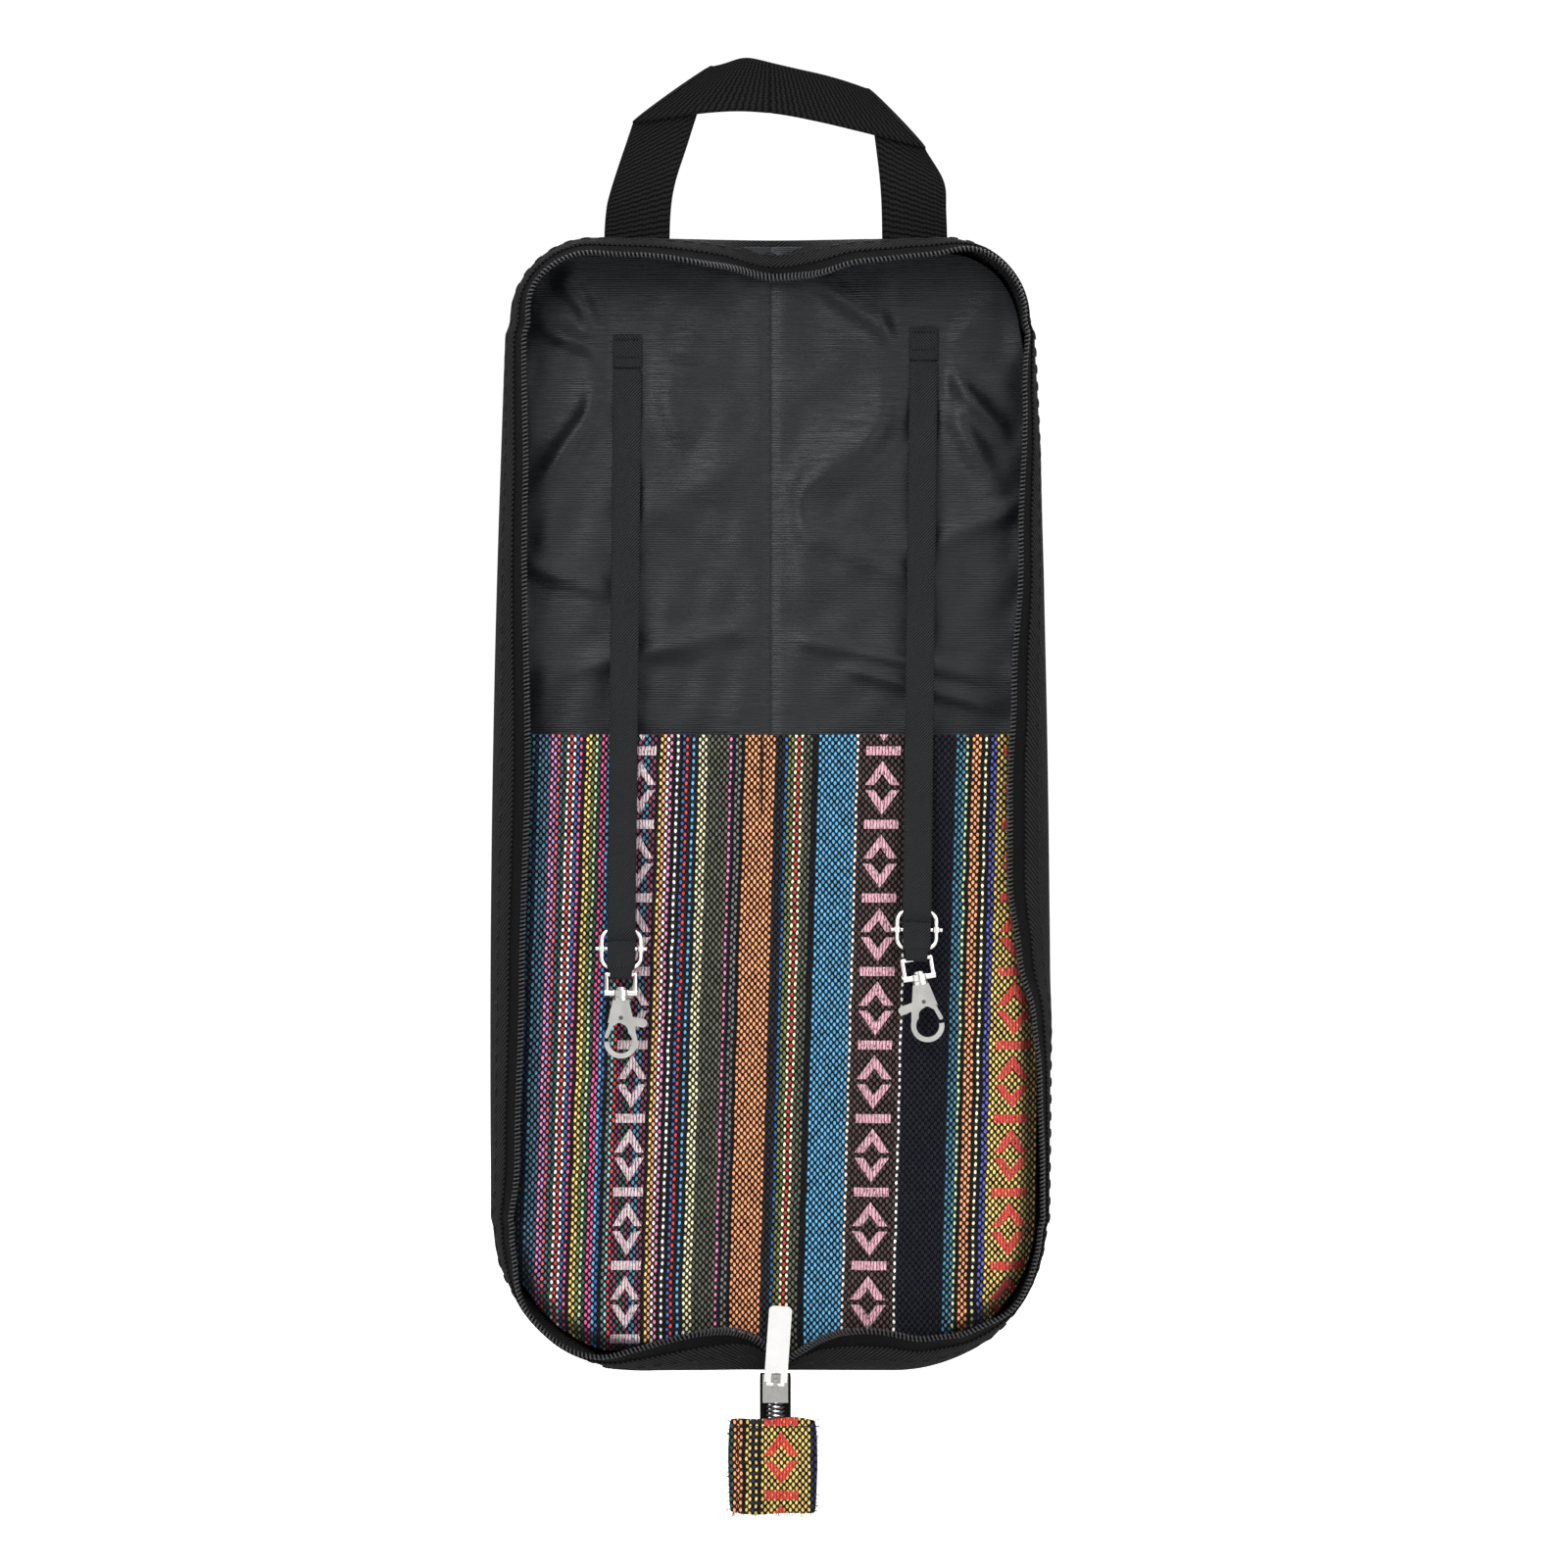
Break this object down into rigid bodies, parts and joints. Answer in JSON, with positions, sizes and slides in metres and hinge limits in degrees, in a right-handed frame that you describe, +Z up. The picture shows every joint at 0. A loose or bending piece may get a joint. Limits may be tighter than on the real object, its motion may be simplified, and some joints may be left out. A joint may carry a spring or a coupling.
{
  "type": "drum stick bag",
  "caption": "Padded fold-flat drum stick bag, lying open, with striped woven stick pockets, holding straps with swivel clasps, a webbing handle and a zipper tail.",
  "frame": {"origin": "middle of the spine on the bag's outer back face, half way up the bag's body", "axes": "+Z up along the bag towards the handle, +X across it to the right as seen from inside, +Y out of the back face; the inside faces -Y"},
  "size_m": [0.22, 0.0278, 0.5728],
  "materials": {
    "striped_fabric": "woven cotton with many coloured lengthwise stripes and small brocade figures",
    "foam_padding": "soft closed-cell foam sheet, hidden between shell and lining",
    "satin_lining": "charcoal satin lining with soft creases",
    "black_binding": "black twill binding with a row of lock stitches",
    "zipper_tape": "black plain-woven zipper tape",
    "zipper_coil": "black nylon coil",
    "black_webbing": "ribbed black webbing, 25 mm wide",
    "strap_tape": "fine black diagonal-twill tape",
    "nickel_hardware": "polished nickel plate",
    "zipper_metal": "silver-plated zipper slider and pull tab"
  },
  "bodies": {
    "spine": {"spine_shell": "striped_fabric", "spine_foam": "foam_padding", "spine_lining": "satin_lining", "pocket_middle": "striped_fabric", "binding_top": "black_binding", "binding_bottom": "black_binding", "zipper_top_stop": "zipper_coil", "handle_grip": "black_webbing"},
    "tail": {"tail_tapes": "zipper_tape", "tail_coils": "zipper_coil", "end_tab": "striped_fabric"},
    "slider": {"slider_body": "zipper_metal"},
    "pull": {"pull_tab": "zipper_metal"},
    "left_cover": {"left_shell": "striped_fabric", "left_foam": "foam_padding", "left_lining": "satin_lining", "left_binding": "black_binding", "left_zipper_tape": "zipper_tape", "left_zipper_coil": "zipper_coil", "left_pocket": "striped_fabric", "left_strap_anchor": "strap_tape", "left_handle_leg": "black_webbing"},
    "left_strap": {"left_strap": "strap_tape"},
    "left_buckle": {"left_buckle_frame": "nickel_hardware", "left_buckle_bar": "nickel_hardware"},
    "left_eye": {"left_clasp_eye": "nickel_hardware"},
    "left_clasp": {"left_clasp_body": "nickel_hardware", "left_clasp_rivet": "nickel_hardware", "left_clasp_spring": "nickel_hardware"},
    "left_lever": {"left_clasp_lever": "nickel_hardware"},
    "right_cover": {"right_shell": "striped_fabric", "right_foam": "foam_padding", "right_lining": "satin_lining", "right_binding": "black_binding", "right_zipper_tape": "zipper_tape", "right_zipper_coil": "zipper_coil", "right_pocket": "striped_fabric", "right_strap_anchor": "strap_tape", "right_handle_leg": "black_webbing"},
    "right_strap": {"right_strap": "strap_tape"},
    "right_buckle": {"right_buckle_frame": "nickel_hardware", "right_buckle_bar": "nickel_hardware"},
    "right_eye": {"right_clasp_eye": "nickel_hardware"},
    "right_clasp": {"right_clasp_body": "nickel_hardware", "right_clasp_rivet": "nickel_hardware", "right_clasp_spring": "nickel_hardware"},
    "right_lever": {"right_clasp_lever": "nickel_hardware"}
  },
  "joints": [
    {"name": "left_fold", "type": "hinge", "parent": "spine", "child": "left_cover", "pos_m": [-0.0228, -0.006, 0], "axis": [0, 0, 1], "range_deg": [0, 90]},
    {"name": "right_fold", "type": "hinge", "parent": "spine", "child": "right_cover", "pos_m": [0.0228, -0.006, 0], "axis": [0, 0, -1], "range_deg": [0, 90]},
    {"name": "tail_bend", "type": "hinge", "parent": "spine", "child": "tail", "pos_m": [0.002, -0.008, -0.2241], "axis": [1, 0, 0], "range_deg": [0, 60]},
    {"name": "slider_travel", "type": "slide", "parent": "tail", "child": "slider", "axis": [0, 0, -1], "range_m": [0, 0.0055]},
    {"name": "pull_turn", "type": "hinge", "parent": "slider", "child": "pull", "pos_m": [0.002, -0.0115, -0.2276], "axis": [0.9976, 0, -0.0698], "range_deg": [0, 175]},
    {"name": "left_strap_swing", "type": "hinge", "parent": "left_cover", "child": "left_strap", "pos_m": [-0.0562, -0.0062, 0.172], "axis": [1, 0, -0.0087], "range_deg": [-135, 0]},
    {"name": "left_buckle_slide", "type": "slide", "parent": "left_strap", "child": "left_buckle", "axis": [0.0087, 0.0837, 0.9965], "range_m": [0, 0.04]},
    {"name": "left_eye_swing", "type": "hinge", "parent": "left_strap", "child": "left_eye", "pos_m": [-0.05828, -0.02474, -0.06607], "axis": [1, 0, 0], "range_deg": [-90, 0]},
    {"name": "left_clasp_swivel", "type": "hinge", "parent": "left_eye", "child": "left_clasp", "pos_m": [-0.05828, -0.02474, -0.07337], "axis": [0, 0, 1], "range_deg": [-95, 20]},
    {"name": "left_lever_press", "type": "hinge", "parent": "left_clasp", "child": "left_lever", "pos_m": [-0.05828, -0.02474, -0.08297], "axis": [0, -1, 0], "range_deg": [0, 22], "stiffness_Nm_per_rad": 0.02, "springref_deg": -5.73},
    {"name": "right_strap_swing", "type": "hinge", "parent": "right_cover", "child": "right_strap", "pos_m": [0.0604, -0.0062, 0.175], "axis": [0.9999, 0, -0.014], "range_deg": [-135, 0]},
    {"name": "right_buckle_slide", "type": "slide", "parent": "right_strap", "child": "right_buckle", "axis": [0.0139, 0.0837, 0.9964], "range_m": [0, 0.04]},
    {"name": "right_eye_swing", "type": "hinge", "parent": "right_strap", "child": "right_eye", "pos_m": [0.05712, -0.02449, -0.06007], "axis": [0.986, 0, 0.1668], "range_deg": [-90, 0]},
    {"name": "right_clasp_swivel", "type": "hinge", "parent": "right_eye", "child": "right_clasp", "pos_m": [0.05833, -0.02449, -0.06727], "axis": [0.1668, 0, -0.986], "range_deg": [-95, 20]},
    {"name": "right_lever_press", "type": "hinge", "parent": "right_clasp", "child": "right_lever", "pos_m": [0.05994, -0.02449, -0.07673], "axis": [0, 1, 0], "range_deg": [0, 22], "stiffness_Nm_per_rad": 0.02, "springref_deg": -5.73}
  ]
}
